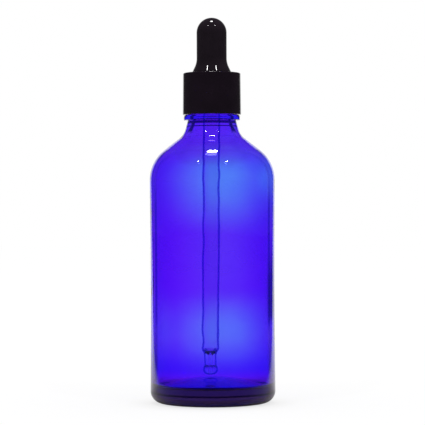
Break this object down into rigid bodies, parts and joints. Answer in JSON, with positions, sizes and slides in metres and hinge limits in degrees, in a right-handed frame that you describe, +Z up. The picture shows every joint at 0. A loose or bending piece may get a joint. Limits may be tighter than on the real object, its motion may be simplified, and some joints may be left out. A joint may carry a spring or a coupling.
{
  "type": "dropper bottle",
  "caption": "Round-shouldered glass dropper bottle with a smooth screw collar, a rubber squeeze bulb and a glass pipette that lifts out.",
  "frame": {"origin": "centre of the bottle's stand, level with the surface that it stands on", "axes": "+Z up along the bottle's axis, towards the bulb; the object is a body of revolution, so X and Y are any two level directions"},
  "size_m": [0.0466, 0.0466, 0.1436],
  "materials": {
    "cobalt_glass": "fire polished, transparent violet blue",
    "black_plastic": "smooth moulded, satin sheen",
    "black_rubber": "smooth moulded, soft sheen",
    "clear_glass": "fire polished, colourless"
  },
  "bodies": {
    "bottle": {"bottle": "cobalt_glass"},
    "dropper": {"rubber_bulb": "black_rubber", "glass_pipette": "clear_glass"},
    "collar": {"screw_collar": "black_plastic"}
  },
  "joints": [
    {"name": "dropper_lift", "type": "slide", "parent": "bottle", "child": "dropper", "axis": [0, 0, 1], "range_m": [0, 0.115]},
    {"name": "collar_turn", "type": "hinge", "parent": "dropper", "child": "collar", "pos_m": [0, 0, 0.115], "axis": [0, 0, 1], "range_deg": [0, 360]}
  ]
}
